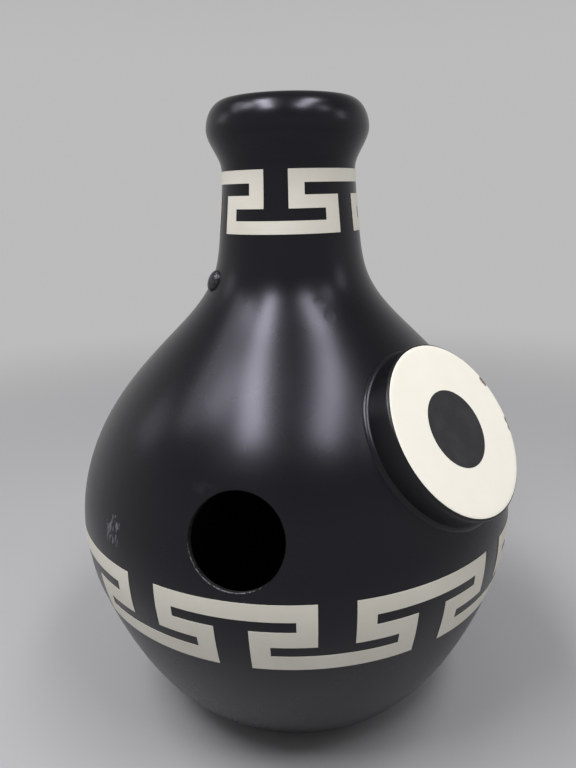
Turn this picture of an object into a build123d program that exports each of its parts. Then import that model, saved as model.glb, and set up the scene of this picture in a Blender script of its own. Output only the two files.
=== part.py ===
from build123d import *
import math
import os

# All sizes are in millimetres and angles in degrees. The drum stands on the plane z = 0 and is turned
# about Z. Azimuths are counted from -Y, where the hand hole faces, towards +X.

# Gourd body
foot_radius = 66
foot_lift = 16  # how steeply the underside leaves the foot
belly_radius = 160
belly_height = 164
neck_radius = 46.2
neck_height = 403  # the flank ends here, upright
neck_straight = 1  # upright stretch of neck above the flank
lip_radius = 55.7
lip_rise = 25.5  # from the straight neck to the widest ring of the lip
lip_ease = 8  # how slowly the neck turns out into the lip
lip_crown = 19.5  # from the widest ring of the lip to the top of the drum
mouth_radius = 35
mouth_roll = 1.5  # inside radius of the rolled mouth edge
mouth_tuck = 4  # how far the rolled edge hangs into the neck
wall = 4.5
seam_azimuth = -35  # the two shells meet on the upright plane through here

# Points that the flank passes, as shares of the way in radius and in height
foot_to_belly = [(0.432, 0.171), (0.813, 0.537)]
belly_to_neck = [(0.1847, 0.2805), (0.6315, 0.5295), (0.9225, 0.7069), (0.9754, 0.8452)]
offset_steps = 48  # places where a parallel curve follows the flank
place_tolerance = 1e-9  # how finely a height is found along a curve
quarter_turn = 90

# Tapered strips laminated over the inside of the two seams
tape_arc = 9
tape_thickness = 1.2

# Hand hole
hole_radius = 29
hole_rise = 34.6  # from the widest ring of the belly up to the middle of the hole

# Drumhead on its ring
head_azimuth = 59.8
head_climb = 76.4  # from the widest ring of the belly up to where the head's axis leaves the body
head_rise = 7.2  # from there to the plane of the ring's top
head_lean = 1.0  # how far the head's axis dips below square to the body
ring_radius = 58.5
ring_wall = 6
ring_edge_radius = 1.5
bead_width = 2.4  # foot bead around the ring, bedded on the body
bead_thickness = 1.8
film_margin = 1.5  # bare edge of the ring around the film
film_thickness = 0.4
dot_radius = 25.7
dot_thickness = 0.15

# Tuning gear inside the head ring
screw_count = 6
screw_radius = 2.5
screw_inset = 5  # from the ring's bore to the middle of a screw
screw_clearance = 0.05
screw_head_radius = 4.2
screw_head_height = 5
screw_reach = 7  # free thread between a lug and a screw's head
socket_across = 4
socket_depth = 2.5
tuning_ring_height = 5.8
tuning_ring_width = 7.6
tuning_ring_edge = 1.5
running_gap = 0.3
touch_gap = 0.05
tuning_travel = 4
lug_height = 9.5
lug_width = 12
lug_margin = 5  # lug material beyond the screw's centre, towards the head's axis

# Domed bolt on the neck, with its washer and nut inside
bolt_azimuth = -58
bolt_drop = 73  # from the top of the flank down to the bolt
bolt_head_radius = 8
bolt_head_height = 4.2
bolt_radius = 3
bolt_clearance = 0.2
washer_radius = 7
washer_thickness = 2
nut_across = 10
nut_height = 5
bolt_tail = 2  # thread standing out of the nut

# Key-pattern bands, thin films on the body
band_thickness = 0.2
band_glue = 0.15
neck_band_drop = 1.15  # from the start of the lip down to the band
neck_band_bar = 8.4
neck_band_gap = 7.65
neck_band_post = 12.8
neck_band_slot = 19.7
neck_band_turned_slot = 18.5
neck_band_shift = -1.95
neck_band_count = 3
neck_band_azimuth = 4.9
belly_band_rise = 0.2  # from the widest ring of the belly up to the band's top
belly_band_bar = 11.4
belly_band_gap = 7.05
belly_band_post = 4.45
belly_band_slot = 8.2
belly_band_turned_slot = 7.7
belly_band_shift = 0
belly_band_count = 8
belly_band_azimuth = 21.3

hole_height = belly_height + hole_rise
head_height = belly_height + head_climb
bolt_height = neck_height - bolt_drop
lip_start = neck_height + neck_straight
lip_height = lip_start + lip_rise
drum_height = lip_height + lip_crown
crest_radius = mouth_radius + wall + mouth_roll
ring_bore = ring_radius - ring_wall
film_radius = ring_radius - film_margin
screw_pitch_radius = ring_bore - screw_inset
tuning_ring_radius = ring_bore - running_gap
tuning_ring_bore = tuning_ring_radius - tuning_ring_width
tuning_ring_top = -running_gap
tuning_ring_foot = tuning_ring_top - tuning_ring_height
lug_top = tuning_ring_foot - tuning_travel - running_gap
lug_foot = lug_top - lug_height
screw_tip = tuning_ring_foot - touch_gap
screw_neck = lug_foot - screw_reach
neck_band_top = lip_start - neck_band_drop
belly_band_top = belly_height + belly_band_rise
cut_reach = 6 * wall  # takes a cutter well through one wall
ring_reach = ring_radius  # deeper than the body curves away under the ring


def along(start, end, shares):
    """Point that lies these shares of the way from start to end, in radius and in height."""
    radius = start[0] + (end[0] - start[0]) * shares[0]
    height = start[1] + (end[1] - start[1]) * shares[1]
    return (radius, height)


def make_flank():
    """Outline of the body from the edge of the foot to the neck, as (radius, height)."""
    foot = (foot_radius, 0)
    belly = (belly_radius, belly_height)
    neck = (neck_radius, neck_height)
    lower = [along(foot, belly, shares) for shares in foot_to_belly]
    upper = [along(belly, neck, shares) for shares in belly_to_neck]
    leave = (math.cos(math.radians(foot_lift)), math.sin(math.radians(foot_lift)))
    return Spline(foot, *lower, belly, *upper, neck, tangents=[leave, (0, 1)], tangent_scalars=[1, 1])


flank = make_flank()


def parallel_flank(inward):
    """The flank moved inward by this much everywhere, or outward where it is negative."""
    points = []
    for step in range(offset_steps + 1):
        place = step / offset_steps
        tangent = flank % place
        points.append(flank @ place + Vector(-tangent.Y, tangent.X) * inward)
    return Spline(*points, tangents=[flank % 0, flank % 1], tangent_scalars=[1, 1])


def lip_under(inward):
    """Curve from the straight neck out to the widest ring of the lip."""
    low = neck_radius - inward
    high = lip_radius - inward
    return Bezier(
        (low, lip_start), (low, lip_start + lip_ease), (high, lip_height - lip_ease), (high, lip_height)
    )


def side_line(inward):
    """Edges of the body's side from foot to lip, moved inward by this much."""
    curve = parallel_flank(inward) if inward else flank
    under = lip_under(inward)
    return [curve, Line(curve @ 1, under @ 0), under]


def quarter(centre_radius, centre_height, width, height, first):
    """Quarter of an ellipse in the outline's plane, starting at the angle given."""
    return EllipticalCenterArc((centre_radius, centre_height), width, height, first, arc_size=quarter_turn)


def meridian(azimuth):
    """Upright half-plane at an azimuth, with radius along its x and height along its y."""
    angle = math.radians(azimuth)
    outward = Vector(math.sin(angle), -math.cos(angle), 0)
    return Plane(origin=(0, 0, 0), x_dir=outward, z_dir=outward.cross(Vector(0, 0, 1)))


def turn(edges, azimuth=0, arc=360):
    """Solid swept about Z by the closed outline, from one azimuth through an arc."""
    return revolve(meridian(azimuth) * make_face(edges), axis=Axis.Z, revolution_arc=arc)


def filled(inward):
    """Body without its hollow, up to the widest ring of the lip, moved inward by this much."""
    side = side_line(inward)
    start = side[0] @ 0
    end = side[-1] @ 1
    foot_line = Line((0, start.Y), start)
    top_line = Line(end, (0, end.Y))
    axis_line = Line((0, end.Y), (0, start.Y))
    return turn([foot_line, *side, top_line, axis_line])


def sector(low, high, first, last):
    """Wedge of a thick disc between two heights and two azimuths, out past the belly."""
    inner = neck_radius / 2
    outer = 2 * belly_radius
    corners = [(inner, low), (outer, low), (outer, high), (inner, high)]
    return turn(Polyline(*corners, close=True).edges(), first, last - first)


def place_at(curve, height):
    """How far along a rising curve this height is, from 0 to 1."""
    low, high = 0, 1
    while high - low > place_tolerance:
        middle = (low + high) / 2
        if (curve @ middle).Y < height:
            low = middle
        else:
            high = middle
    return low


def seat(height, azimuth):
    """Plane that touches the body at a height and an azimuth, with its z pointing straight out."""
    place = place_at(flank, height)
    point = flank @ place
    tangent = flank % place
    angle = math.radians(azimuth)
    outward = Vector(math.sin(angle), -math.cos(angle), 0)
    sideways = Vector(math.cos(angle), math.sin(angle), 0)
    normal = outward * tangent.Y - Vector(0, 0, 1) * tangent.X
    return Plane(origin=outward * point.X + Vector(0, 0, point.Y), x_dir=sideways, z_dir=normal)


def disc(radius, top, foot):
    """Cylinder on the local z axis between two heights."""
    return Pos(0, 0, foot) * Cylinder(radius, top - foot, align=(Align.CENTER, Align.CENTER, Align.MIN))


hole_plane = seat(hole_height, 0)
bolt_plane = seat(bolt_height, bolt_azimuth)
head_plane = Plane(seat(head_height, head_azimuth).offset(head_rise).location * Rot(head_lean, 0, 0))
body_filled = filled(0)


def shell_outline():
    """Closed outline of the wall: foot, side, lip, rolled mouth edge and the inside back to the axis."""
    outer = side_line(0)
    inner = side_line(wall)
    floor = inner[0] @ 0
    crown_width = lip_radius - crest_radius
    roll_centre = drum_height - wall - mouth_roll
    tip = roll_centre - mouth_tuck
    lip_outside = quarter(crest_radius, lip_height, crown_width, lip_crown, 0)
    roll_outside = quarter(crest_radius, roll_centre, wall + mouth_roll, wall + mouth_roll, 90)
    roll_inside = quarter(crest_radius, roll_centre, mouth_roll, mouth_roll, 90)
    lip_inside = quarter(crest_radius, lip_height, crown_width - wall, lip_crown - wall, 0)
    bore = mouth_radius + wall
    edge = Polyline((mouth_radius, roll_centre), (mouth_radius, tip), (bore, tip), (bore, roll_centre))
    base = Polyline(floor, (0, floor.Y), (0, 0), (foot_radius, 0))
    mouth = [lip_outside, roll_outside, *edge.edges(), roll_inside, lip_inside]
    return [*outer, *mouth, *inner, *base.edges()]


def shell_half(azimuth):
    """Half of the wall, from the seam at this azimuth round to the other seam."""
    return turn(shell_outline(), azimuth, 180)


def make_front_shell():
    """Front half, with the hand hole and the opening under the head ring."""
    shell = shell_half(seam_azimuth) - hole_plane * Cylinder(hole_radius, cut_reach)
    return shell - head_plane * disc(ring_bore, ring_reach, -ring_reach)


def make_back_shell():
    """Back half, drilled for the bolt on the neck."""
    drill = Cylinder(bolt_radius + bolt_clearance, cut_reach)
    return shell_half(seam_azimuth + 180) - bolt_plane * drill


def layer_outline(near, far, low, high):
    """Closed outline of a layer on the body's side, between two depths below its face and two heights."""
    sides = []
    for inward in (near, far):
        curve = parallel_flank(inward)
        side = [curve.trim(place_at(curve, low), place_at(curve, min(high, neck_height)))]
        if high > neck_height:
            side.append(Line(side[0] @ 1, (neck_radius - inward, high)))
        sides.append(side)
    first, second = sides
    ends = [Line(first[0] @ 0, second[0] @ 0), Line(first[-1] @ 1, second[-1] @ 1)]
    return [*first, *second, *ends]


def make_seam_tape():
    """Two strips, one over each seam, from the floor up to the neck."""
    outline = layer_outline(wall, wall + tape_thickness, wall + tape_thickness, neck_height)
    starts = [seam_azimuth - tape_arc / 2, seam_azimuth + 180 - tape_arc / 2]
    return Compound([turn(outline, start, tape_arc) for start in starts])


def make_head_ring():
    """Round ring with an eased top edge, its foot scribed to the body and bedded in a thin bead."""
    ring = disc(ring_radius, 0, -ring_reach)
    ring = fillet(ring.edges().group_by(Axis.Z)[-1], ring_edge_radius)
    bead = filled(-bead_thickness) & head_plane * disc(ring_radius + bead_width, 0, -ring_reach)
    bore = head_plane * disc(ring_bore, ring_reach, -2 * ring_reach)
    return head_plane * ring + bead - body_filled - bore


def make_drumhead():
    """Film glued to the top of the ring."""
    return head_plane * disc(film_radius, film_thickness, 0)


def make_head_dot():
    """Plain dot bonded to the middle of the film."""
    return head_plane * disc(dot_radius, film_thickness + dot_thickness, film_thickness)


def make_tuning_ring():
    """Pressure ring that bears on the film from below, with rounded upper edges."""
    ring = disc(tuning_ring_radius, tuning_ring_top, tuning_ring_foot)
    ring -= disc(tuning_ring_bore, 0, 2 * tuning_ring_foot)
    ring = fillet(ring.edges().group_by(Axis.Z)[-1], tuning_ring_edge)
    return head_plane * ring


def screw_place(number):
    """Place of one tuning screw on the head's plane, with its x pointing away from the head's axis."""
    return head_plane * Rot(0, 0, 360 * number / screw_count) * Pos(screw_pitch_radius, 0, 0)


def make_tuning_lug(number):
    """Block bonded to the ring's bore, drilled along the head's axis for its screw."""
    outer = ring_bore - screw_pitch_radius
    block = Pos((outer - lug_margin) / 2, 0, lug_foot) * Box(
        outer + lug_margin, lug_width, lug_height, align=(Align.CENTER, Align.CENTER, Align.MIN)
    )
    round_bore = Pos(-screw_pitch_radius, 0, 0) * disc(ring_bore - touch_gap, lug_top, lug_foot)
    drilled = (block & round_bore) - disc(screw_radius + screw_clearance, lug_top, lug_foot)
    return screw_place(number) * drilled


def make_tuning_screw(number):
    """Cap screw with a hex socket that is reached through the hand hole."""
    foot = screw_neck - screw_head_height
    socket = extrude(RegularPolygon(socket_across / 2, 6, major_radius=False), socket_depth)
    screw = disc(screw_radius, screw_tip, screw_neck) + disc(screw_head_radius, screw_neck, foot)
    return screw_place(number) * (screw - Pos(0, 0, foot) * socket)


def make_neck_bolt():
    """Domed bolt whose head is bedded to the neck."""
    dome_radius = (bolt_head_radius**2 + bolt_head_height**2) / (2 * bolt_head_height)
    dome = Pos(0, 0, bolt_head_height - dome_radius) * Sphere(dome_radius)
    skirt = disc(bolt_head_radius, bolt_head_height, -bolt_head_height)
    tail = -wall - washer_thickness - nut_height - bolt_tail
    return bolt_plane * (dome & skirt) - body_filled + bolt_plane * disc(bolt_radius, 0, tail)


def make_neck_washer():
    """Fibre washer pressed to the inside of the wall, whose curve its outer face takes."""
    top = -wall / 2
    foot = -wall - washer_thickness
    washer = disc(washer_radius, top, foot) - disc(bolt_radius + bolt_clearance, top, foot)
    return bolt_plane * washer - shell_half(seam_azimuth + 180)


def make_neck_nut():
    """Hex nut on the bolt."""
    foot = -wall - washer_thickness - nut_height
    nut = Pos(0, 0, foot) * extrude(RegularPolygon(nut_across / 2, 6, major_radius=False), nut_height)
    return bolt_plane * (nut - disc(bolt_radius + screw_clearance, 0, foot))


def make_key_band(top, bar, gap, post, slot, turned_slot, shift, count, azimuth):
    """One continuous ribbon in a running key pattern: three rows of bars joined by posts.

    Slots open to the top and to the foot by turns. The upper rows are shifted a little along the band.
    """
    upper_gap = (top - bar - gap, top - bar)
    lower_gap = (upper_gap[0] - bar - gap, upper_gap[0] - bar)
    foot = lower_gap[0] - bar
    period = 360 / count
    lower_recess = (period - turned_slot) / 2 - post
    upper_recess = (period - slot) / 2 - post
    band = turn(layer_outline(-band_glue - band_thickness, -band_glue, foot, top))
    for unit in range(count):
        lower = azimuth + period * unit
        turned = lower + period / 2
        upright = lower + shift
        upper = turned + shift
        slot_down = sector(lower_gap[0], top + bar, upright - slot / 2, upright + slot / 2)
        slot_up = sector(foot - bar, upper_gap[1], turned - turned_slot / 2, turned + turned_slot / 2)
        band -= slot_down + sector(*lower_gap, lower - lower_recess, lower + lower_recess)
        band -= slot_up + sector(*upper_gap, upper - upper_recess, upper + upper_recess)
    return band


def make_neck_band():
    """Band around the neck."""
    return make_key_band(
        neck_band_top, neck_band_bar, neck_band_gap, neck_band_post, neck_band_slot,
        neck_band_turned_slot, neck_band_shift, neck_band_count, neck_band_azimuth,
    )


def make_belly_band():
    """Band below the widest part of the belly."""
    return make_key_band(
        belly_band_top, belly_band_bar, belly_band_gap, belly_band_post, belly_band_slot,
        belly_band_turned_slot, belly_band_shift, belly_band_count, belly_band_azimuth,
    )


pieces = {
    "front_shell": make_front_shell(),
    "back_shell": make_back_shell(),
    "seam_tape": make_seam_tape(),
    "head_ring": make_head_ring(),
    "drumhead": make_drumhead(),
    "head_dot": make_head_dot(),
    "tuning_ring": make_tuning_ring(),
    "neck_bolt": make_neck_bolt(),
    "neck_washer": make_neck_washer(),
    "neck_nut": make_neck_nut(),
    "neck_band": make_neck_band(),
    "belly_band": make_belly_band(),
}
for number in range(screw_count):
    pieces[f"tuning_lug_{number + 1}"] = make_tuning_lug(number)
    pieces[f"tuning_screw_{number + 1}"] = make_tuning_screw(number)

os.makedirs("parts", exist_ok=True)
for name, piece in pieces.items():
    export_step(piece, f"parts/{name}.step")
    print(name, round(piece.volume, 1))
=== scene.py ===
# %% [markdown]
# An udu is a gourd-shaped drum. This one is a hollow black shell with a hand hole, a small drumhead on a
# slanted ring and two cream key-pattern bands. The CAD model comes in first, as a fixed frame in metres:
# every piece made below sits exactly where the CAD says, so nothing has to be fitted by eye.

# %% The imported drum
import math
from collections import namedtuple

import bmesh
import bpy
import numpy as np
from mathutils import Matrix, Quaternion, Vector


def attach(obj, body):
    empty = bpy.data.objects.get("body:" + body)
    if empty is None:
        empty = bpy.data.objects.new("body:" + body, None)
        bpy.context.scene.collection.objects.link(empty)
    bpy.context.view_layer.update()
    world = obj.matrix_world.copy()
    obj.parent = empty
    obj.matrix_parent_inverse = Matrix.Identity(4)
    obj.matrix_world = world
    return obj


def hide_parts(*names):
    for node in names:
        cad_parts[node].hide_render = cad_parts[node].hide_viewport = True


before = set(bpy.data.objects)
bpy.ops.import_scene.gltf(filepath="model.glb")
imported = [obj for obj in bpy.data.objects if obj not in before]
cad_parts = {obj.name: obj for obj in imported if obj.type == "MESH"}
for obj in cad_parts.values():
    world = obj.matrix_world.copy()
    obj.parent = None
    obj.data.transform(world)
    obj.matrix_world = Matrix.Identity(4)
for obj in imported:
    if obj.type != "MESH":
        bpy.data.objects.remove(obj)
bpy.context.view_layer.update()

print("nodes in the frame:", len(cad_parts))

# %% [markdown]
# A finish is a shader tree. Writing one node at a time is slow to read, so one small class wraps a socket:
# arithmetic on it adds Math nodes, and `node` adds any other node. The same class serves the shader trees
# and the Geometry Nodes trees, because both have sockets and links.

# %% Sockets with arithmetic
class Wire:
    """One output socket of a node tree."""

    def __init__(self, tree, socket=None):
        self.tree = tree
        self.socket = socket

    def node(self, kind, settings=None, links=None, out=0):
        """Adds a node: settings first, then the values or wires of its inputs."""
        made = self.tree.nodes.new(kind)
        for key, value in (settings or {}).items():
            if key == "stops":
                for stop, (place, colour) in zip(made.color_ramp.elements, value):
                    stop.position = place
                    stop.color = colour
            else:
                setattr(made, key, value)
        for key, value in (links or {}).items():
            if isinstance(value, Wire):
                self.tree.links.new(value.socket, made.inputs[key])
            else:
                made.inputs[key].default_value = value
        return Wire(self.tree, made.outputs[out])

    def other(self, out):
        """Another output of the same node."""
        return Wire(self.tree, self.socket.node.outputs[out])

    def into(self, socket):
        """Links this wire to an input of a node that is already there."""
        self.tree.links.new(self.socket, socket)

    def maths(self, operation, *values):
        """A Math node on this wire and any further values."""
        return self.node("ShaderNodeMath", {"operation": operation}, dict(enumerate((self, *values))))

    def __add__(self, value):
        return self.maths("ADD", value)

    def __sub__(self, value):
        return self.maths("SUBTRACT", value)

    def __rsub__(self, value):
        return self.node("ShaderNodeMath", {"operation": "SUBTRACT"}, {0: value, 1: self})

    def __mul__(self, value):
        return self.maths("MULTIPLY", value)

    def __truediv__(self, value):
        return self.maths("DIVIDE", value)

    def __rtruediv__(self, value):
        return self.node("ShaderNodeMath", {"operation": "DIVIDE"}, {0: value, 1: self})

    __radd__ = __add__
    __rmul__ = __mul__

    def step(self, low, high):
        """Rises softly from 0 at low to 1 at high, or falls where high is the smaller."""
        return self.node("ShaderNodeMapRange", {"interpolation_type": "SMOOTHSTEP"}, {0: self, 1: low, 2: high})

    def mix(self, low, high):
        """Colour between two, by this factor."""
        return self.node("ShaderNodeMix", {"data_type": "RGBA"}, {0: self, 6: low, 7: high}, out=2)

    def noise(self, scale, detail=2.0, roughness=0.5):
        """Soft random values over the place on this wire. Scale counts waves in a metre."""
        sizes = {"Scale": scale, "Detail": detail, "Roughness": roughness}
        return self.node("ShaderNodeTexNoise", None, {"Vector": self, **sizes})

    def vector(self, operation, value, out=0):
        """A Vector Math node on this wire and one more vector."""
        return self.node("ShaderNodeVectorMath", {"operation": operation}, {0: self, 1: value}, out)

    def along(self, direction):
        """How far this place lies along a direction."""
        return self.vector("DOT_PRODUCT", tuple(direction), out="Value")

    def near(self, spot, size):
        """1 at a spot, falling to 0 where it is one size away."""
        offset = self.vector("SUBTRACT", tuple(spot)).vector("DIVIDE", tuple(size))
        return offset.vector("LENGTH", (0, 0, 0), out="Value").step(1.0, 0.3)

# %% [markdown]
# Every finish starts from a Principled shader with the numbers that hold all over the surface. What varies
# is wired in afterwards, and reads Object coordinates, so a pattern keeps its real size in millimetres.
# Three short helpers wire in what varies: the colour, the dullness and the relief.

# %% A plain start for each finish
Finish = namedtuple("Finish", "material shader place")


def new_finish(name, colour, roughness, metallic=0.0, specular=0.5, tint=(1, 1, 1)):
    """Material with one Principled shader and a wire that carries the place on the piece."""
    material = bpy.data.materials.new(name)
    material.use_nodes = True
    shader = material.node_tree.nodes["Principled BSDF"]
    shader.inputs["Base Color"].default_value = (*colour, 1)
    shader.inputs["Roughness"].default_value = roughness
    shader.inputs["Metallic"].default_value = metallic
    shader.inputs["Specular IOR Level"].default_value = specular
    shader.inputs["Specular Tint"].default_value = (*tint, 1)
    place = Wire(material.node_tree).node("ShaderNodeTexCoord", out="Object")
    return Finish(material, shader, place)


def paint(finish, factor, low, high):
    """Base colour between two, by a factor from 0 to 1."""
    factor.mix((*low, 1), (*high, 1)).into(finish.shader.inputs["Base Color"])


def dull(finish, roughness):
    roughness.into(finish.shader.inputs["Roughness"])


def relief(finish, height, depth):
    """Bumps of this depth in metres, where the wire runs from 0 to 1. It is the last step of a finish."""
    bump = height.node("ShaderNodeBump", None, {"Height": height, "Distance": depth, "Strength": 1.0})
    bump.into(finish.shader.inputs["Normal"])
    print("finish", finish.material.name, len(finish.material.node_tree.nodes), "nodes")

# %% [markdown]
# The gourd turns about Z. Its side could be a Bezier curve with handles set by eye. Here it is a smooth cubic
# through nine measured points, which leaves the foot at 16 degrees and ends upright in the neck, so it is
# the same curve as the CAD's. The lip, its crown and the rolled mouth edge follow. The wall is 4.5 mm thick,
# so each point of the outside has a partner on the inside.

# %% Outline of the wall
wall = 0.0045
foot_radius = 0.066
neck_radius = 0.0462
neck_height = 0.403
lip_start = 0.404
lip_radius = 0.0557
lip_height = 0.4295
drum_height = 0.449
crest_radius = 0.041
mouth_roll = 0.0015
mouth_tuck = 0.004
flank_points = [
    (foot_radius, 0), (0.10661, 0.02804), (0.14242, 0.08807), (0.160, 0.164), (0.13898, 0.23104),
    (0.08813, 0.29055), (0.05502, 0.33295), (0.04900, 0.36600), (neck_radius, neck_height),
]
foot_lift = math.radians(16)


def smooth_line(points, leave, arrive, steps):
    """Cubic curve through points, with its end directions given: places and directions along it."""
    points = np.array(points)
    spans = np.linalg.norm(np.diff(points, axis=0), axis=1)
    system = np.eye(len(points))
    wanted = np.array([leave] + [(0, 0)] * (len(points) - 2) + [arrive], float)
    for i in range(1, len(points) - 1):
        before, after = spans[i - 1], spans[i]
        system[i, i - 1 : i + 2] = after, 2 * (before + after), before
        rise = (points[i] - points[i - 1]) / before * after + (points[i + 1] - points[i]) / after * before
        wanted[i] = 3 * rise
    slopes = np.linalg.solve(system, wanted)
    places, directions = [], []
    for i, span in enumerate(spans):
        for t in np.linspace(0, 1, steps, endpoint=i == len(spans) - 1):
            a, b, c, d = points[i], points[i + 1], slopes[i] * span, slopes[i + 1] * span
            places.append((2 * t**3 - 3 * t**2 + 1) * a + (t**3 - 2 * t**2 + t) * c
                          + (3 * t**2 - 2 * t**3) * b + (t**3 - t**2) * d)
            rate = 6 * (t * t - t) * (a - b) + (3 * t * t - 4 * t + 1) * c + (3 * t * t - 2 * t) * d
            directions.append(rate / np.linalg.norm(rate))
    return np.array(places), np.array(directions)


leave_foot = (math.cos(foot_lift), math.sin(foot_lift))
flank, flank_direction = smooth_line(flank_points, leave_foot, (0, 1), 16)
flank_inside = flank + wall * np.c_[-flank_direction[:, 1], flank_direction[:, 0]]


def lip_under(inward, steps=9):
    """Curve from the straight neck out to the widest ring of the lip."""
    t = np.linspace(0, 1, steps)[1:, None]
    low, high, ease = neck_radius - inward, lip_radius - inward, 0.008
    ends = np.array([(low, lip_start), (low, lip_start + ease), (high, lip_height - ease), (high, lip_height)])
    lower = (1 - t) ** 3 * ends[0] + 3 * t * (1 - t) ** 2 * ends[1]
    return lower + 3 * t**2 * (1 - t) * ends[2] + t**3 * ends[3]


def arc(centre, width, height, first, last, steps):
    """Part of an ellipse, without its first point."""
    turn = np.radians(np.linspace(first, last, steps + 1))[1:]
    return np.c_[centre[0] + width * np.cos(turn), centre[1] + height * np.sin(turn)]


def wall_line(inward, side):
    """Outline of one face of the wall, from the axis of the foot up to the tip of the mouth edge."""
    base = [(side[0][0] * share, side[0][1]) for share in (0, 0.3, 0.6, 0.85)]
    neck = [(neck_radius - inward, height) for height in (0.4035, lip_start)]
    crown = arc((crest_radius, lip_height), lip_radius - crest_radius - inward,
                drum_height - lip_height - inward, 0, 90, 14)
    roll_height = drum_height - wall - mouth_roll
    roll = arc((crest_radius, roll_height), mouth_roll + wall - inward, mouth_roll + wall - inward, 90, 180, 8)
    tip = [(roll[-1][0], roll_height - mouth_tuck)]
    return np.vstack([base, side, neck, lip_under(inward), crown, roll, tip])


outer_line = wall_line(0, flank)
inner_line = wall_line(wall, flank_inside)
print("points on the outline:", len(outer_line), "height", outer_line[:, 1].max())

# %% [markdown]
# Three things are set into the gourd: the hand hole, the drumhead and a domed bolt on the neck. Each has a
# centre and three directions: sideways, up the slope and straight out. A flat shape drawn on such a seat
# is dropped along the axis until it lies on the skin of the gourd. A Shrinkwrap modifier could do that, but
# the skin is a known curve, so a few rounds of arithmetic find the exact depth.

# %% Seats on the gourd
Seat = namedtuple("Seat", "centre side up out")
fine_flank, fine_direction = smooth_line(flank_points, leave_foot, (0, 1), 400)


def seat_on(azimuth, height, rise=0.0, lean=0.0):
    """Seat on the skin at an azimuth from -Y towards +X. It may rise off the skin, and its axis may dip."""
    radius = np.interp(height, fine_flank[:, 1], fine_flank[:, 0])
    run, climb = [np.interp(height, fine_flank[:, 1], fine_direction[:, i]) for i in (0, 1)]
    turn, lift = math.radians(azimuth), math.atan2(-run, climb)
    outward = np.array((math.sin(turn), -math.cos(turn), 0))
    side = np.array((math.cos(turn), math.sin(turn), 0))
    upright = np.array((0, 0, 1))
    centre = outward * (radius + rise * math.cos(lift)) + upright * (height + rise * math.sin(lift))
    lift -= math.radians(lean)
    out = outward * math.cos(lift) + upright * math.sin(lift)
    return Seat(centre, side, np.cross(out, side), out)


hole_seat = seat_on(0, 0.1986)
head_seat = seat_on(59.8, 0.2404, rise=0.0072, lean=1.0)
bolt_seat = seat_on(-58, 0.330)
outer_skin = (fine_flank[:, 1], fine_flank[:, 0])
fine_inside = fine_flank + wall * np.c_[-fine_direction[:, 1], fine_direction[:, 0]]
inner_skin = (fine_inside[:, 1], fine_inside[:, 0])


def depth_on(skin, place, flat):
    """How far along a seat's axis flat points must go to lie on the skin."""
    start = place.centre + flat[:, :1] * place.side + flat[:, 1:] * place.up
    depth = np.zeros(len(flat))
    level = math.hypot(place.out[0], place.out[1])
    for _ in range(60):
        spot = start + depth[:, None] * place.out
        depth -= (np.hypot(spot[:, 0], spot[:, 1]) - np.interp(spot[:, 2], *skin)) * level
    return depth


def raised(place, flat, depth):
    """Points of a seat in space, from flat points and their distance along the axis."""
    level = place.centre + flat[:, :1] * place.side + flat[:, 1:] * place.up
    return level + np.reshape(depth, (-1, 1)) * place.out


def circle(radius, angles):
    return np.c_[radius * np.cos(angles), radius * np.sin(angles)]


print("head faces", head_seat.out.round(4), "from", head_seat.centre.round(5))

# %% [markdown]
# Pieces arrive as points and faces. Merging doubles closes the poles and seams, recalculated normals point
# out of the material, and edges sharper than an angle stay crisp while the rest is shaded smooth.

# %% From points to a closed piece
def make_piece(name, points, faces, finishes, kinds=None, sharp=35):
    """Closed mesh object at the origin, with its materials by number."""
    mesh = bpy.data.meshes.new(name)
    mesh.from_pydata([tuple(point) for point in points], [], faces)
    for finish in finishes:
        mesh.materials.append(finish.material)
    if kinds is not None:
        mesh.polygons.foreach_set("material_index", kinds)
    work = bmesh.new()
    work.from_mesh(mesh)
    bmesh.ops.remove_doubles(work, verts=work.verts, dist=2e-6)
    bmesh.ops.delete(work, geom=[v for v in work.verts if not v.link_faces], context="VERTS")
    bmesh.ops.recalc_face_normals(work, faces=work.faces)
    loose = sum(len(edge.link_faces) != 2 for edge in work.edges)
    if work.calc_volume(signed=True) < 0:
        bmesh.ops.reverse_faces(work, faces=work.faces)
    work.to_mesh(mesh)
    work.free()
    mesh.shade_smooth()
    mesh.set_sharp_from_angle(angle=math.radians(sharp))
    piece = bpy.data.objects.new(name, mesh)
    bpy.context.scene.collection.objects.link(piece)
    print(name, len(mesh.polygons), "faces, open edges:", loose)
    return piece


def link_rings(rings):
    """Quads between rings of equal length, each a list of point numbers that closes on itself."""
    faces = []
    for near, far in zip(rings, rings[1:]):
        for i in range(len(near)):
            j = (i + 1) % len(near)
            faces.append((near[i], near[j], far[j], far[i]))
    return faces


def add_rings(points, rings):
    """Stores rings of points and returns their numbers."""
    numbers = []
    for ring in rings:
        numbers.append(list(range(len(points), len(points) + len(ring))))
        points.extend(ring)
    return numbers

# %% [markdown]
# The outside of the gourd is sprayed satin black over fibreglass. The spray leaves a fine peel and the mould
# a slow waviness with two shallow dents at the root of the neck. Hands have polished the lip a little. A
# cool tint of the gloss keeps the streaks of light from looking like grey paint.

# %% Satin black of the gourd
gourd_black = (0.0035, 0.0038, 0.0046)
satin_black = new_finish("satin_black", gourd_black, 0.3, specular=0.36, tint=(0.88, 0.86, 1.0))
place = satin_black.place
peel = place.noise(520, 2)
wave = place.noise(14, 1)
cloud = place.noise(60, 3)
polish = place.along((0, 0, 1)).step(0.414, 0.434)
dent_high = place.near((0.0321, -0.0528, 0.3199), (0.006, 0.006, 0.004))
dent_low = place.near((0.0385, -0.0562, 0.3114), (0.005, 0.005, 0.006))
dents = dent_high + dent_low

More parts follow.
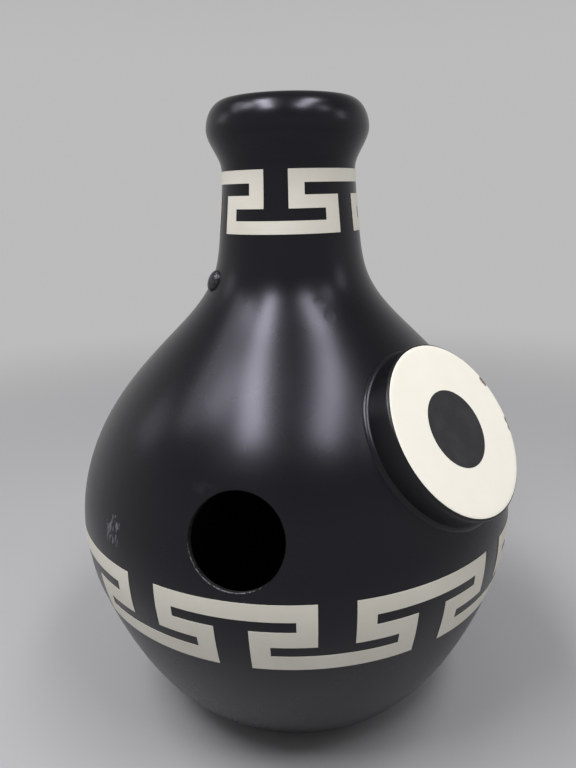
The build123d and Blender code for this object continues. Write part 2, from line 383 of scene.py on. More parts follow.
# %% [markdown]
# Handling has left dust, a smudge above the hand hole, two scratches and a rub at the left of it. The rub is a
# patch of short upright dashes: noise that is stretched along Z and kept only near one spot. Each mark is a
# mask, and together they lighten the black and dull it.

# %% Wear on the black
dust = place.noise(900, 3, 0.7).step(0.62, 0.8) * place.noise(9, 2).step(0.45, 0.75)
dashes = place.vector("MULTIPLY", (420, 420, 150)).noise(1, 2, 0.6)
rubbed = place.near((-0.0890, -0.1300, 0.1841), (0.013, 0.013, 0.0145))
rub = (dashes + rubbed * 0.16).step(0.67, 0.73) * rubbed.step(0.05, 0.3)
smudge = place.near((-0.0215, -0.1435, 0.2248), (0.012, 0.012, 0.006)) * place.noise(240, 3).step(0.4, 0.7)
scratch_long = place.near((-0.0302, -0.1058, 0.2673), (0.0006, 0.006, 0.006))
scratch_short = place.near((0.0009, -0.1284, 0.2453), (0.0006, 0.004, 0.004))
marks = (rub * 0.8).maths("MAXIMUM", (scratch_long + scratch_short) * 0.12)
worn = (marks + dust * 0.025 + smudge * 0.04).maths("MINIMUM", 1.0)
paint(satin_black, worn, gourd_black, (0.15, 0.15, 0.16))
dull(satin_black, 0.24 + wave * 0.04 + cloud * 0.04 + worn * 0.4 - polish * 0.03)
relief(satin_black, peel * 0.02 + wave - dents * 0.35, 0.0002)

# %% [markdown]
# The rim of the hand hole is eased and sprayed with the rest. A thin pale line is painted along its lower left,
# where the light catches the eased edge: a painted highlight, broken by noise into chips. The inside was never
# sprayed. It is the rough laminate itself, near black, with the weave of the cloth in it.

# %% Rim with a painted highlight
rim_black = (0.004, 0.004, 0.005)
rim_with_painted_highlight = new_finish("rim_with_painted_highlight", rim_black, 0.35, specular=0.2)
place = rim_with_painted_highlight.place
flecks = place.noise(900, 4, 0.7)
low_left = hole_seat.side * -0.42 - hole_seat.up * 0.91
# Painted highlight: the lower left of the eased edge, where the light catches it, is painted pale and broken by
# noise into chips.
lit_side_of_rim = place.vector("SUBTRACT", tuple(hole_seat.centre)).along(low_left).step(0.006, 0.024)
painted_highlight = (flecks + lit_side_of_rim * 0.22).step(0.62, 0.78) * lit_side_of_rim
paint(rim_with_painted_highlight, painted_highlight, rim_black, (0.16, 0.16, 0.165))
dull(rim_with_painted_highlight, 0.32 + painted_highlight * 0.35)
relief(rim_with_painted_highlight, flecks, 0.0001)

# %% Raw laminate
def weave_on(place, threads_around, threads_up):
    """Crossing waves of a cloth, by the angle about Z and by the height."""
    parts = place.node("ShaderNodeSeparateXYZ", None, {0: place})
    around = parts.maths("ARCTAN2", parts.other("Y"))
    warp = (around * threads_around).maths("SINE")
    weft = (parts.other("Z") * threads_up).maths("SINE")
    return warp * weft * 0.5 + 0.5


raw_laminate = new_finish("raw_laminate", (0.014, 0.014, 0.015), 0.6, specular=0.2)
place = raw_laminate.place
weave = weave_on(place, 110, 1300)
resin = place.noise(90, 4)
paint(raw_laminate, weave * 0.5 + resin * 0.5, (0.007, 0.007, 0.008), (0.026, 0.026, 0.027))
relief(raw_laminate, weave * 0.4 + resin, 0.0008)

# %% [markdown]
# The gourd is moulded in two halves that meet on an upright plane. A turned form is a grid of rows along the
# outline and columns around the axis. A Boolean could cut the round holes, but it leaves long thin faces that
# spoil a glossy highlight. So a window of cells is left out and filled with rings that change from the
# window's outline to the circle, then go down the wall and back.

# %% Two halves of the gourd
Opening = namedtuple("Opening", "seat radius ease azimuths heights")
seam_azimuth = -35
columns = np.r_[0, 0.2, np.arange(2, 179, 2), 179.8, 180]
bridge_shares = [0.18, 0.38, 0.6, 0.82]


def rim_rings(opening, angles):
    """Rings from the outer skin round the eased edge, through the wall and on to the inner skin."""
    rings = []
    for skin, sign, ease in ((outer_skin, -1, opening.ease), (inner_skin, 1, opening.ease / 2)):
        rim = depth_on(skin, opening.seat, circle(opening.radius, angles))
        away = depth_on(skin, opening.seat, circle(opening.radius + ease, angles))
        turned = []
        for turn in np.radians((0, 22.5, 45, 67.5, 90)):
            far = 1 - math.sin(turn)
            depth = rim + (away - rim) * far + sign * ease * (1 - math.cos(turn))
            turned.append(raised(opening.seat, circle(opening.radius + ease * far, angles), depth))
        rings.append(turned)
    return rings[0] + rings[1][::-1]


def window_loop(opening, first):
    """Rows and columns around an opening, and the cells that it takes out of the grid."""
    rows = [int(np.abs(outer_line[:, 1] - height).argmin()) for height in opening.heights]
    sides = [int(np.abs(columns - (azimuth - first)).argmin()) for azimuth in opening.azimuths]
    loop = [(rows[0], column) for column in range(sides[0], sides[1])]
    loop += [(row, sides[1]) for row in range(rows[0], rows[1])]
    loop += [(rows[1], column) for column in range(sides[1], sides[0], -1)]
    loop += [(row, sides[0]) for row in range(rows[1], rows[0], -1)]
    return rows, sides, loop


def make_shell(name, first, openings):
    """Half of the wall as one closed mesh, from the seam at this azimuth round to the other seam."""
    turns = np.radians(first + columns)
    points, faces, kinds = [], [], []
    for line in (outer_line, inner_line):
        for radius, height in line:
            points.extend(np.c_[radius * np.sin(turns), -radius * np.cos(turns), np.full(len(turns), height)])
    row_count, column_count = len(outer_line), len(columns)

    def number(face, row, column):
        return (face * row_count + row) * column_count + column

    windows = [window_loop(opening, first) for opening in openings]
    for row in range(row_count - 1):
        for column in range(column_count - 1):
            if any(r[0] <= row < r[1] and c[0] <= column < c[1] for r, c, _ in windows):
                continue
            for face, kind in ((0, 0), (1, 2)):
                corners = [(row, column), (row, column + 1), (row + 1, column + 1), (row + 1, column)]
                faces.append([number(face, *corner) for corner in corners])
                kinds.append(kind)
        for column in (0, column_count - 1):
            faces.append([number(0, row, column), number(0, row + 1, column),
                          number(1, row + 1, column), number(1, row, column)])
            kinds.append(1)
    tip = row_count - 1
    for column in range(column_count - 1):
        faces.append([number(0, tip, column), number(0, tip, column + 1),
                      number(1, tip, column + 1), number(1, tip, column)])
        kinds.append(1)
    for opening, (_, _, loop) in zip(openings, windows):
        fill_opening(opening, loop, points, faces, kinds, number)
    return make_piece(name, points, faces, (satin_black, rim_with_painted_highlight, raw_laminate), kinds)


def fill_opening(opening, loop, points, faces, kinds, number):
    """Rings between the window on both skins and the round hole."""
    edges = [[number(face, row, column) for row, column in loop] for face in (0, 1)]
    flats = []
    for edge in edges:
        spots = np.array([points[i] for i in edge]) - opening.seat.centre
        flats.append(np.c_[spots @ opening.seat.side, spots @ opening.seat.up])
    angles = np.arctan2(flats[0][:, 1], flats[0][:, 0])
    bridges = []
    for flat, skin, ease in ((flats[0], outer_skin, opening.ease), (flats[1], inner_skin, opening.ease / 2)):
        rim = circle(opening.radius + ease, angles)
        shapes = [flat + (rim - flat) * share for share in bridge_shares]
        bridges.append([raised(opening.seat, shape, depth_on(skin, opening.seat, shape)) for shape in shapes])
    rims = rim_rings(opening, angles)
    rings = [edges[0]] + add_rings(points, bridges[0] + rims + bridges[1][::-1]) + [edges[1]]
    made = link_rings(rings)
    faces.extend(made)
    each = len(loop)
    outside, rim_steps = each * (len(bridge_shares) + 1), each * (len(rims) // 2 - 1)
    kinds.extend([0] * outside + [1] * rim_steps + [2] * (len(made) - outside - rim_steps))


hand_hole = Opening(hole_seat, 0.029, 0.0006, (-13, 13), (0.160, 0.237))
head_hole = Opening(head_seat, 0.0525, 0.0004, (33, 87), (0.186, 0.296))
front_shell = make_shell("gourd_front_half", seam_azimuth, [hand_hole, head_hole])
back_shell = make_shell("gourd_back_half", seam_azimuth + 180, [])
for piece, node in ((front_shell, "front_shell"), (back_shell, "back_shell")):
    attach(piece, "shell")
    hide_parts(node)

# %% [markdown]
# The bands are thin cream films, cut in a running key pattern. They could be painted on by a texture, but a
# film has an edge that catches the light, so each is a mesh of its own. The cream is a little uneven, with
# a fine fibre in it.

# %% Cream of the bands
band_cream = new_finish("band_cream", (0.70, 0.67, 0.58), 0.5, specular=0.35)
place = band_cream.place
tone = place.noise(35, 3)
fibre = place.noise(1400, 2)
paint(band_cream, tone, (0.64, 0.605, 0.51), (0.76, 0.735, 0.65))
dull(band_cream, 0.42 + fibre * 0.16)
relief(band_cream, fibre, 0.00003)

# %% [markdown]
# The pattern has three rows of bars with two rows of gaps between them, joined by posts. One unit of it is
# drawn flat, with the azimuth along x and the height along y. Each row is cut into cells, and a cell is left
# out where a slot or a recess is open. Fine cells let the unit bend round the gourd.

# %% One unit of the key pattern
def key_unit(name, top, bar, gap, post, slot, turned_slot, shift, count):
    """Flat mesh of one unit: x is the azimuth in radians from the unit's middle, y the height in metres."""
    half = 180 / count
    slot_down = (shift, slot / 2)
    slot_up = (half, turned_slot / 2)
    upper_recess = (half + shift, half - slot / 2 - post)
    lower_recess = (0, half - turned_slot / 2 - post)
    rows = [(bar, [slot_down]), (gap, [slot_down, upper_recess]), (bar, [slot_down, slot_up]),
            (gap, [lower_recess, slot_up]), (bar, [slot_up])]

    def within(angle):
        return (angle + half) % (2 * half) - half

    cuts = [slot_down, slot_up, upper_recess, lower_recess]
    edges = {within(middle + side * reach) for middle, reach in cuts for side in (-1, 1)}
    stops = sorted({-half, half} | edges)
    across = [-half]
    for start, end in zip(stops, stops[1:]):
        pieces = math.ceil((end - start) / 1.5)
        across += [start + (end - start) * k / pieces for k in range(1, pieces + 1)]
    points, faces, high = [], [], top
    for depth, open_spans in rows:
        levels = np.linspace(high - depth, high, 5)
        for left, right in zip(across, across[1:]):
            if any(abs(within((left + right) / 2 - middle)) < reach for middle, reach in open_spans):
                continue
            for low, up in zip(levels, levels[1:]):
                faces.append(range(len(points), len(points) + 4))
                a, b = math.radians(left), math.radians(right)
                points.extend([(a, low, 0), (b, low, 0), (b, up, 0), (a, up, 0)])
        high -= depth
    mesh = bpy.data.meshes.new(name)
    mesh.from_pydata(points, [], [tuple(face) for face in faces])
    work = bmesh.new()
    work.from_mesh(mesh)
    bmesh.ops.remove_doubles(work, verts=work.verts, dist=1e-6)
    work.to_mesh(mesh)
    work.free()
    unit = bpy.data.objects.new(name, mesh)
    bpy.context.scene.collection.objects.link(unit)
    print(name, len(mesh.polygons), "cells in a unit, foot at", round(high, 5))
    return unit

# %% [markdown]
# What repeats is a job for Geometry Nodes. A line of points carries one unit for each repeat. Each point of the
# flat pattern then becomes a place far out on its own azimuth, and a level ray cast inwards finds the gourd.
# The film is lifted off by the glue, thickened and closed, and becomes plain geometry with its finish.

# %% Geometry Nodes that lay a pattern round the gourd
def add_input(tree, name, kind, out=False):
    """Named input of a tree, or its output."""
    return tree.interface.new_socket(name=name, in_out="OUTPUT" if out else "INPUT", socket_type=kind)


def wrap_tree():
    """Tree that repeats a flat unit around the drum and wraps it on the gourd as a closed film."""
    tree = bpy.data.node_groups.new("wrap_band", "GeometryNodeTree")
    sockets = {
        "Unit": add_input(tree, "Unit", "NodeSocketGeometry"),
        "Front": add_input(tree, "Front", "NodeSocketObject"),
        "Back": add_input(tree, "Back", "NodeSocketObject"),
        "Count": add_input(tree, "Count", "NodeSocketInt"),
        "First": add_input(tree, "First", "NodeSocketFloat"),
        "Glue": add_input(tree, "Glue", "NodeSocketFloat"),
        "Thickness": add_input(tree, "Thickness", "NodeSocketFloat"),
        "Finish": add_input(tree, "Finish", "NodeSocketMaterial"),
    }
    add_input(tree, "Band", "NodeSocketGeometry", out=True)
    start = Wire(tree).node("NodeGroupInput")
    count = start.other("Count")
    pitch = 2 * math.pi / count
    step = start.node("ShaderNodeCombineXYZ", None, {0: pitch})
    first = start.node("ShaderNodeCombineXYZ", None, {0: start.other("First")})
    line = start.node("GeometryNodeMeshLine", None, {"Count": count, "Start Location": first, "Offset": step})
    units = start.node("GeometryNodeInstanceOnPoints", None, {"Points": line, "Instance": start.other("Unit")})
    flat = start.node("GeometryNodeRealizeInstances", None, {0: units})
    spot = start.node("ShaderNodeSeparateXYZ", None, {0: start.node("GeometryNodeInputPosition")})
    east, north = spot.maths("SINE"), spot.maths("COSINE")
    outward = start.node("ShaderNodeCombineXYZ", None, {0: east, 1: 0 - north})
    height = start.node("ShaderNodeCombineXYZ", None, {2: spot.other("Y")})
    far = outward.node("ShaderNodeVectorMath", {"operation": "ADD"}, {0: outward, 1: height})
    inward = outward.vector("MULTIPLY", (-1, -1, -1))
    halves = [start.node("GeometryNodeObjectInfo", None, {0: start.other(half)}, out="Geometry")
              for half in ("Front", "Back")]
    gourd = tree.nodes.new("GeometryNodeJoinGeometry")
    for half in halves:
        half.into(gourd.inputs[0])
    hit = start.node("GeometryNodeRaycast", None, {
        "Target Geometry": Wire(tree, gourd.outputs[0]), "Source Position": far,
        "Ray Direction": inward, "Ray Length": 2.0}, out="Hit Position")
    lift = hit.other("Hit Normal").node("ShaderNodeVectorMath", {"operation": "SCALE"}, {
        0: hit.other("Hit Normal"), "Scale": start.other("Glue")})
    seated = hit.node("ShaderNodeVectorMath", {"operation": "ADD"}, {0: hit, 1: lift})
    wrapped = start.node("GeometryNodeSetPosition", None, {"Geometry": flat, "Position": seated})
    merged = start.node("GeometryNodeMergeByDistance", None, {"Geometry": wrapped, "Distance": 1e-5})
    thick = start.node("GeometryNodeExtrudeMesh", None, {
        "Mesh": merged, "Offset Scale": start.other("Thickness"), "Individual": False})
    under = start.node("GeometryNodeFlipFaces", None, {0: merged})
    both = tree.nodes.new("GeometryNodeJoinGeometry")
    thick.into(both.inputs[0])
    under.into(both.inputs[0])
    closed = start.node("GeometryNodeMergeByDistance", None, {
        "Geometry": Wire(tree, both.outputs[0]), "Distance": 1e-6})
    plain = start.node("GeometryNodeRealizeInstances", None, {0: closed})
    painted = start.node("GeometryNodeSetMaterial", None, {
        "Geometry": plain, "Material": start.other("Finish")})
    end = tree.nodes.new("NodeGroupOutput")
    painted.into(end.inputs["Band"])
    return tree, {name: socket.identifier for name, socket in sockets.items()}


band_tree, band_inputs = wrap_tree()
print("band tree:", len(band_tree.nodes), "nodes")

# %% [markdown]
# The neck's band repeats three times and the belly's eight times, with sizes of their own. A modifier's result
# isn't a mesh that can be handed over, so it is copied to a plain one and the maker is removed.

# %% Both bands
def as_plain_mesh(maker, name, sharp=35):
    """Turns an object with a Geometry Nodes modifier into a plain closed piece and removes the maker."""
    bpy.context.view_layer.update()
    graph = bpy.context.evaluated_depsgraph_get()
    mesh = bpy.data.meshes.new_from_object(maker.evaluated_get(graph))
    mesh.name = name
    maker.modifiers.clear()
    bpy.data.objects.remove(maker)
    work = bmesh.new()
    work.from_mesh(mesh)
    loose = sum(len(edge.link_faces) != 2 for edge in work.edges)
    work.free()
    mesh.shade_smooth()
    mesh.set_sharp_from_angle(angle=math.radians(sharp))
    piece = bpy.data.objects.new(name, mesh)
    bpy.context.scene.collection.objects.link(piece)
    print(name, len(mesh.polygons), "faces, open edges:", loose)
    return piece


def set_inputs(maker, tree, identifiers, values):
    """Adds the modifier and sets its named inputs by identifier."""
    modifier = maker.modifiers.new("maker", "NODES")
    modifier.node_group = tree
    for name, value in values.items():
        modifier[identifiers[name]] = value


def make_band(name, node, azimuth, **sizes):
    unit = key_unit(name + "_unit", **sizes)
    set_inputs(unit, band_tree, band_inputs, {
        "Front": front_shell, "Back": back_shell, "Count": sizes["count"], "First": math.radians(azimuth),
        "Glue": 0.00015, "Thickness": 0.0002, "Finish": band_cream.material})
    band = as_plain_mesh(unit, name)
    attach(band, "shell")
    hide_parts(node)


make_band("neck_key_band", "neck_band", 4.9, top=0.40285, bar=0.0084, gap=0.00765, post=12.8,
          slot=19.7, turned_slot=18.5, shift=-1.95, count=3)
make_band("belly_key_band", "belly_band", 21.3, top=0.1642, bar=0.0114, gap=0.00705, post=4.45,
          slot=8.2, turned_slot=7.7, shift=0, count=8)

# %% [markdown]
# The drumhead sits on a ring that is sprayed with the gourd. Its black is a shade lighter, with a few scuffs
# where hands strike past the edge of the head.

# %% Black of the ring and its bead
ring_tone = (0.004, 0.0043, 0.005)
ring_black = new_finish("ring_black", ring_tone, 0.3, specular=0.38, tint=(0.9, 0.89, 1.0))
place = ring_black.place
peel = place.noise(420, 2)
scuffs = place.noise(170, 5, 0.7).step(0.63, 0.72)
paint(ring_black, scuffs, ring_tone, (0.014, 0.014, 0.015))
dull(ring_black, 0.26 + peel * 0.06 + scuffs * 0.1)
relief(ring_black, peel, 0.00003)

# %% [markdown]
# The ring is turned round, eased at its top edge and scribed to the gourd at its foot, where a rounded bead of
# filler beds it. A plain tube would be cut to the gourd by a Boolean. Here every angle around the head's axis
# has its own profile instead, because the gourd falls away by a different amount, and the quads stay clean.

# %% Head ring
ring_radius = 0.0585
ring_bore = 0.0525
ring_ease = 0.0015
bead_width = 0.0024
bead_height = 0.0018
ring_angles = np.radians(np.arange(0, 360, 2))


def on_head(radius, depth):
    """One ring of points around the head's axis."""
    return raised(head_seat, circle(radius, ring_angles), np.broadcast_to(depth, ring_angles.shape))


def gourd_under(radius):
    """Depth of the gourd's skin below the plane of the ring's top."""
    return depth_on(outer_skin, head_seat, circle(radius, ring_angles))


def make_head_ring():
    rings = [on_head(ring_bore, 0), on_head(ring_bore + 0.0022, 0)]
    for turn in np.radians(np.linspace(90, 0, 7)):
        rings.append(on_head(ring_radius - ring_ease * (1 - math.cos(turn)), ring_ease * (math.sin(turn) - 1)))
    bead_top = gourd_under(ring_radius) + bead_height
    for share in np.linspace(0, 1, 7)[1:]:
        rings.append(on_head(ring_radius, -ring_ease + (bead_top + ring_ease) * share))
    for turn in np.radians(np.linspace(84, 0, 8)):
        radius = ring_radius + bead_width * math.cos(turn)
        rings.append(on_head(radius, gourd_under(radius) + bead_height * math.sin(turn)))
    for radius in (ring_radius, 0.0555, ring_bore):
        rings.append(on_head(radius, gourd_under(radius) - 0.0002))
    rings.append(on_head(ring_bore, gourd_under(ring_bore) / 2))
    points = []
    numbers = add_rings(points, rings)
    faces = link_rings(numbers + [numbers[0]])
    return make_piece("head_ring_and_bead", points, faces, (ring_black,))


head_ring = make_head_ring()
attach(head_ring, "shell")
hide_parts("head_ring")

# %% [markdown]
# The head is a coated plastic film, glued flat to the top of the ring. The coating is a fine sprayed grain,
# cream with a little grime from hands. Its edge is chipped brown, most of all in four smears at the right, so
# noise is pushed over a threshold near the edge and at those spots. A plain black dot is bonded to the
# middle. Both are discs with a rounded edge, and their masks use the head's own directions.

# %% Coated film
def distance_from_axis(place):
    """How far a place lies from the axis of the head."""
    from_centre = place.vector("SUBTRACT", tuple(head_seat.centre))
    sideways, upward = from_centre.along(head_seat.side), from_centre.along(head_seat.up)
    return (sideways * sideways + upward * upward).maths("SQRT")


film_cream = new_finish("film_cream", (0.86, 0.83, 0.72), 0.6, specular=0.3)
place = film_cream.place
grain = place.noise(2600, 2, 0.6)
grime = place.noise(45, 4, 0.6)
edge = distance_from_axis(place).step(0.0538, 0.0569)
smear_spots = [
    (0.0508, 0.0218, 0.0034), (0.0522, 0.0184, 0.0032), (0.0566, -0.0095, 0.0040), (0.0558, -0.0150, 0.0040),
]
smears = 0
for sideways, upward, size in smear_spots:
    spot = head_seat.centre + sideways * head_seat.side + upward * head_seat.up
    smears = smears + place.near(spot, (size, size, size))
chips = (place.noise(1300, 4, 0.8) * 0.8 + edge * 0.26 + smears * 0.34).step(0.72, 0.84)
clean = grime.mix((0.83, 0.795, 0.68, 1), (0.89, 0.86, 0.75, 1))
(chips * 0.9).mix(clean, (0.10, 0.065, 0.04, 1)).into(film_cream.shader.inputs["Base Color"])
dull(film_cream, 0.52 + grain * 0.2)
relief(film_cream, grain, 0.00004)

# %% Plain dot
dot_black = new_finish("dot_black", (0.02, 0.02, 0.022), 0.5, specular=0.3)
place = dot_black.place
specks = place.noise(1100, 3, 0.7)
scuffed = place.noise(80, 4, 0.65).step(0.4, 0.75)
paint(dot_black, specks * 0.35 + scuffed * 0.5, (0.012, 0.0125, 0.0135), (0.038, 0.0385, 0.040))
dull(dot_black, 0.42 + scuffed * 0.15)
relief(dot_black, specks, 0.00003)

# %% [markdown]
# The film and the dot are sheets of 0.4 and 0.15 mm. A flat circle would show no edge, so each disc has a
# top, a bottom and a half-round rim between them.

# %% Film and dot as discs
def make_disc(name, radius, low, high, finish):
    """Round sheet on the head's axis with a rounded edge."""
    ease = (high - low) / 2
    rings = [on_head(radius * share, high) for share in (0.02, 0.25, 0.5, 0.75, 0.95)]
    for turn in np.radians(np.linspace(90, -90, 7)):
        rings.append(on_head(radius - ease + ease * math.cos(turn), low + ease + ease * math.sin(turn)))
    rings += [on_head(radius * share, low) for share in (0.95, 0.5, 0.02)]
    points = []
    numbers = add_rings(points, rings)
    faces = link_rings(numbers) + [tuple(numbers[0]), tuple(numbers[-1])]
    return make_piece(name, points, faces, (finish,), sharp=60)


film_top = 0.0004
film = make_disc("coated_film", 0.057, 0, film_top, film_cream)
dot = make_disc("plain_dot", 0.0257, film_top, film_top + 0.00015, dot_black)
for piece, node, finish_slot in ((film, "drumhead", "head_film"), (dot, "head_dot", "head_dot")):
    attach(piece, "shell")
    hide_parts(node)

# %% [markdown]
# A domed bolt sits at the root of the neck, on the left. A sphere cut flat would stand off the round neck, so
# the rim of the dome is dropped on to the skin like the ring's foot. The shank goes through the wall to a
# nut inside. The black finish has worn a little lighter on the dome.

# %% Domed bolt
bolt_black = new_finish("bolt_black", (0.035, 0.036, 0.039), 0.33, metallic=0.6, specular=0.5)
place = bolt_black.place
rubs = place.noise(650, 4, 0.7)
paint(bolt_black, rubs.step(0.45, 0.7), (0.022, 0.023, 0.026), (0.085, 0.085, 0.09))
dull(bolt_black, 0.26 + rubs * 0.2)
relief(bolt_black, rubs, 0.00004)


def make_bolt():
    head_radius, head_height, shank, tail = 0.008, 0.0042, 0.003, -0.0135
    angles = np.radians(np.arange(0, 360, 6))
    rings = []
    for turn in np.radians(np.linspace(88, 0, 10)):
        flat = circle(head_radius * math.cos(turn), angles)
        foot = depth_on(outer_skin, bolt_seat, flat)
        share = math.cos(turn) ** 4
        rings.append(raised(bolt_seat, flat, head_height * math.sin(turn) + np.minimum(foot, 0) * share))
    for radius, depth in ((shank, -0.0006), (shank, tail + 0.0004), (shank - 0.0004, tail)):
        rings.append(raised(bolt_seat, circle(radius, angles), np.full(len(angles), depth)))
    points = []
    numbers = add_rings(points, rings)
    faces = link_rings(numbers) + [tuple(numbers[0]), tuple(numbers[-1])]
    return make_piece("domed_neck_bolt", points, faces, (bolt_black,))


neck_bolt = make_bolt()
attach(neck_bolt, "shell")
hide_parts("neck_bolt")

# %% [markdown]
# What is inside keeps its CAD shape: the woven tape over the seams, the tuning ring under the film, its lugs
# and screws, and the washer and nut of the bolt. They show through the hand hole and the mouth, so each
# gets a finish of its own: turned and sawn aluminium, plated steel, fibre and glass cloth.

# %% Turned and sawn aluminium
turned_aluminium = new_finish("turned_aluminium", (0.62, 0.63, 0.64), 0.35, metallic=1.0)
place = turned_aluminium.place
grooves = (distance_from_axis(place) * 16000).maths("SINE") * 0.5 + 0.5
haze = place.noise(300, 3)
paint(turned_aluminium, haze, (0.55, 0.56, 0.57), (0.68, 0.69, 0.70))
dull(turned_aluminium, 0.3 + grooves * 0.06 + haze * 0.12)
relief(turned_aluminium, grooves, 0.00001)

sawn_aluminium = new_finish("sawn_aluminium", (0.58, 0.585, 0.59), 0.42, metallic=1.0)
place = sawn_aluminium.place
saw = place.vector("MULTIPLY", (500, 500, 4200)).noise(1, 2)
haze = place.noise(260, 3)
paint(sawn_aluminium, haze, (0.47, 0.475, 0.48), (0.63, 0.635, 0.64))
dull(sawn_aluminium, 0.36 + saw * 0.16)
relief(sawn_aluminium, saw, 0.00003)

# %% [markdown]
# The screws are plain cylinders in the CAD. Their thread is a wave along the head's axis, one wave for every
# 0.8 mm, that stops short of the screw's head and of its tip.

# %% Plated steel with a thread
thread_pitch = 0.0008
plated_steel = new_finish("plated_steel", (0.56, 0.55, 0.52), 0.3, metallic=1.0)
place = plated_steel.place
plating = place.noise(800, 3)
paint(plated_steel, plating, (0.46, 0.455, 0.43), (0.64, 0.63, 0.60))
dull(plated_steel, 0.24 + plating * 0.16)
depth = place.vector("SUBTRACT", tuple(head_seat.centre)).along(head_seat.out)
thread = (depth * (2 * math.pi / thread_pitch)).maths("SINE")
threaded = thread * depth.step(-0.0270, -0.0268) * depth.step(-0.0066, -0.0070)
relief(plated_steel, plating * 0.03 + threaded * 0.5, 0.0003)

# %% Fibre and glass cloth
fibre_washer = new_finish("fibre_washer", (0.16, 0.035, 0.02), 0.7, specular=0.3)
place = fibre_washer.place
pulp = place.noise(1600, 4, 0.7)
paint(fibre_washer, pulp, (0.11, 0.024, 0.014), (0.22, 0.055, 0.03))
dull(fibre_washer, 0.6 + pulp * 0.2)
relief(fibre_washer, pulp, 0.00005)

glass_cloth = new_finish("glass_cloth", (0.30, 0.31, 0.28), 0.5, specular=0.4)
place = glass_cloth.place
weave = weave_on(place, 160, 2000)
soaked = place.noise(70, 3)
paint(glass_cloth, weave * 0.5 + soaked * 0.5, (0.12, 0.125, 0.11), (0.36, 0.37, 0.33))
dull(glass_cloth, 0.35 + soaked * 0.25)
relief(glass_cloth, weave, 0.0002)

# %% [markdown]
# A CAD piece already has its mesh and its place, so all it needs is the finish. The nut and the screws share
# the plated steel, and the six lugs share the sawn aluminium.

# %% Finishes on the CAD pieces
inside_finishes = {
    "seam_tape": glass_cloth, "tuning_ring": turned_aluminium,
    "neck_washer": fibre_washer, "neck_nut": plated_steel,
}
for number in range(1, 7):
    inside_finishes[f"tuning_lug_{number}"] = sawn_aluminium
    inside_finishes[f"tuning_screw_{number}"] = plated_steel
for node, finish in inside_finishes.items():
    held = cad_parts[node]
    held.data.materials.clear()
    held.data.materials.append(finish.material)
print("CAD nodes with finishes:", len(inside_finishes))

# %% [markdown]
# The stage is a pale floor that fades into a pale surround of the same tone. Camera, gloss and glass see the
# surround as it is, pale at the sides and darker overhead, so the top of the drum stays black between its
# highlights. For the rest it is a weak light, strongest from above, that fills the shadows softly.

# %% Floor and surround
pale = (0.5, 0.5, 0.5)


def make_floor():
    mesh = bpy.data.meshes.new("floor")
    reach = 8.0
    corners = [(-reach, -reach, 0), (reach, -reach, 0), (reach, reach, 0), (-reach, reach, 0)]
    mesh.from_pydata(corners, [], [(0, 1, 2, 3)])
    material = bpy.data.materials.new("pale_floor")
    material.use_nodes = True
    shader = material.node_tree.nodes["Principled BSDF"]
    shader.inputs["Base Color"].default_value = (0.41, 0.41, 0.41, 1)
    shader.inputs["Roughness"].default_value = 0.9
    shader.inputs["Specular IOR Level"].default_value = 0.0
    place = Wire(material.node_tree).node("ShaderNodeTexCoord", out="Object")
    away = place.vector("LENGTH", (0, 0, 0), out="Value").step(0.45, 1.6)
    glow = place.node("ShaderNodeEmission", None, {"Color": (*pale, 1), "Strength": 1.0})
    faded = place.node("ShaderNodeMixShader", None, {0: away, 1: Wire(place.tree, shader.outputs[0]), 2: glow})
    faded.into(material.node_tree.nodes["Material Output"].inputs["Surface"])
    mesh.materials.append(material)
    floor = bpy.data.objects.new("floor", mesh)
    bpy.context.scene.collection.objects.link(floor)


def make_surround():
    world = bpy.data.worlds.new("surround")
    world.use_nodes = True
    tree = world.node_tree
    path = Wire(tree).node("ShaderNodeLightPath", out="Is Camera Ray")
    seen = (path + path.other("Is Glossy Ray") + path.other("Is Transmission Ray")).maths("MINIMUM", 1.0)
    rise = path.node("ShaderNodeSeparateXYZ", None, {0: path.node("ShaderNodeTexCoord", out="Generated")})
    level = 0.12 + rise.other("Z").step(0.0, 1.0) * 0.36
    fill = path.node("ShaderNodeBackground", None, {"Color": (0.96, 0.98, 1.0, 1), "Strength": level})
    ceiling = 1.0 - rise.other("Z").step(0.15, 0.75) * 0.65
    shown = path.node("ShaderNodeBackground", None, {"Color": (*pale, 1), "Strength": ceiling})
    mixed = path.node("ShaderNodeMixShader", None, {0: seen, 1: fill, 2: shown})
    mixed.into(tree.nodes["World Output"].inputs["Surface"])
    bpy.context.scene.world = world


make_floor()
make_surround()
print("stage:", bpy.data.objects["floor"].name, "and", bpy.context.scene.world.name)

# %% [markdown]
# The streaks tell where the lights stood. Reflecting the line of sight along the ridge of each streak draws two
# long boxes in a V, with their lower ends near the front and their upper ends out at the sides. Two small
# boxes below them light the lip, and three weak ones give the sheen near the edges of the gourd.

# %% Soft boxes
shoulder = Vector((0, 0, 0.27))


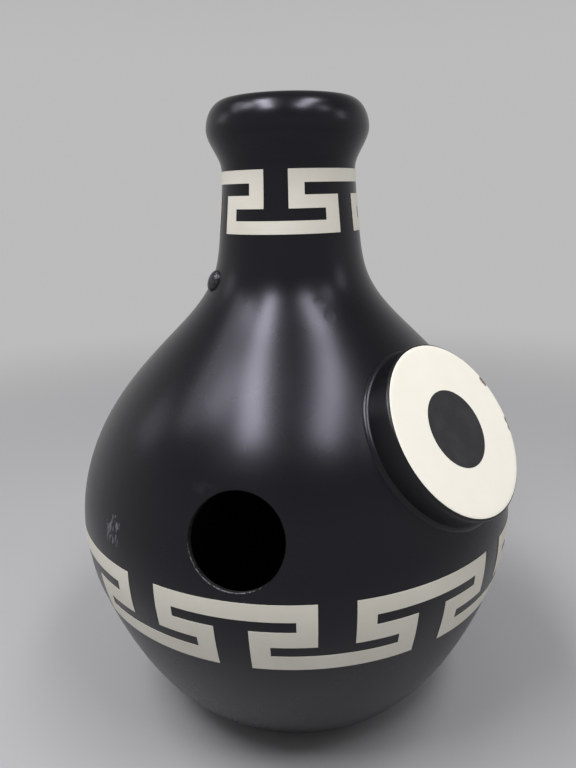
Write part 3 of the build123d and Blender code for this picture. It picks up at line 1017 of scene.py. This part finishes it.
def soft_box(name, azimuth, lift, distance, width, length, watts, roll):
    """Area light that looks at the shoulder of the drum. Its length runs up and down before its roll."""
    turn, rise = math.radians(azimuth), math.radians(lift)
    away = Vector((math.sin(turn) * math.cos(rise), -math.cos(turn) * math.cos(rise), math.sin(rise)))
    lamp = bpy.data.lights.new(name, "AREA")
    lamp.shape = "RECTANGLE"
    lamp.size = width
    lamp.size_y = length
    lamp.energy = watts
    lamp.color = (0.97, 0.96, 1.0)
    light = bpy.data.objects.new(name, lamp)
    bpy.context.scene.collection.objects.link(light)
    light.location = shoulder + away * distance
    rolled = Quaternion((0, 0, 1), math.radians(roll))
    light.rotation_euler = (away.to_track_quat("Z", "Y") @ rolled).to_euler()
    print(name, [round(value, 3) for value in light.location])


soft_boxes = [
    # name, azimuth, lift, distance, width, length, watts, roll
    ("box_left", -32, 61, 1.5, 0.27, 0.84, 15, 38),
    ("box_left_low", -60, 53, 1.5, 0.34, 0.4, 3.2, 20),
    ("box_far_left", -78, 46, 1.6, 0.25, 0.7, 1.6, 40),
    ("box_right", 54, 61.5, 1.5, 0.26, 0.9, 10.8, -50),
    ("box_right_low", 72, 43, 1.5, 0.3, 0.3, 1.0, 0),
    ("box_low_left", -88, 24, 1.6, 0.4, 0.4, 0.6, 0),
    ("box_low_right", 94, 26, 1.6, 0.3, 0.4, 0.8, 0),
]
for box in soft_boxes:
    soft_box(*box)

# %% [markdown]
# The camera stands where the photograph was taken: half a metre away, a little above the shoulder and
# looking down. Its place came from the bands, which repeat exactly around the drum.

# %% Camera
camera_azimuth = math.radians(13.2)
camera_distance = 0.49536
camera_height = 0.388
look_down = math.radians(15.68)
heading = math.radians(0.447)
tilt = math.radians(-1.41)

lens = bpy.data.cameras.new("camera")
lens.lens = 31.895
lens.sensor_width = 36
lens.clip_start = 0.01
camera = bpy.data.objects.new("camera", lens)
bpy.context.scene.collection.objects.link(camera)
right, ahead = math.sin(camera_azimuth), math.cos(camera_azimuth)
stand = Vector((camera_distance * right, -camera_distance * ahead, camera_height))
turned = Matrix.Rotation(camera_azimuth + heading, 4, "Z") @ Matrix.Rotation(math.pi / 2 - look_down, 4, "X")
camera.matrix_world = Matrix.Translation(stand) @ turned @ Matrix.Rotation(tilt, 4, "Z")
bpy.context.scene.camera = camera
bpy.context.scene.view_settings.view_transform = "Standard"
print("camera at", [round(value, 3) for value in stand])
